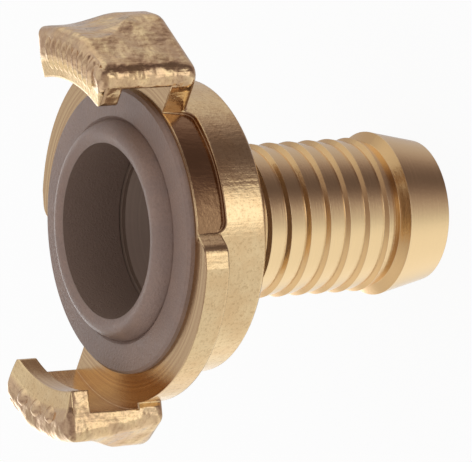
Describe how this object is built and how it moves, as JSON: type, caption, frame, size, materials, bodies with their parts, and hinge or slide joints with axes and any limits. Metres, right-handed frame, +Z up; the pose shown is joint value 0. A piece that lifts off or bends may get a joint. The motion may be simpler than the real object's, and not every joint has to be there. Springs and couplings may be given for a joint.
{
  "type": "quarter turn hose coupling",
  "caption": "Forged quarter turn hose coupling with two hooked claws, two ramped cam lugs, a rubber face seal and a ribbed hose tail.",
  "frame": {"origin": "centre of the hose tail's end face, on the axis of the waterway, at the bottom of the part as it stands", "axes": "+Z up along the waterway from the hose tail to the claws; +X through the middle of one claw; the claws lie on +X and -X"},
  "size_m": [0.0558, 0.0426, 0.0537],
  "materials": {
    "brass": "forged and bright turned, unplated",
    "seal_rubber": "moulded, matt with a faint sheen"
  },
  "bodies": {
    "root": {"coupling_body": "brass", "seal_ring": "seal_rubber"}
  },
  "joints": []
}
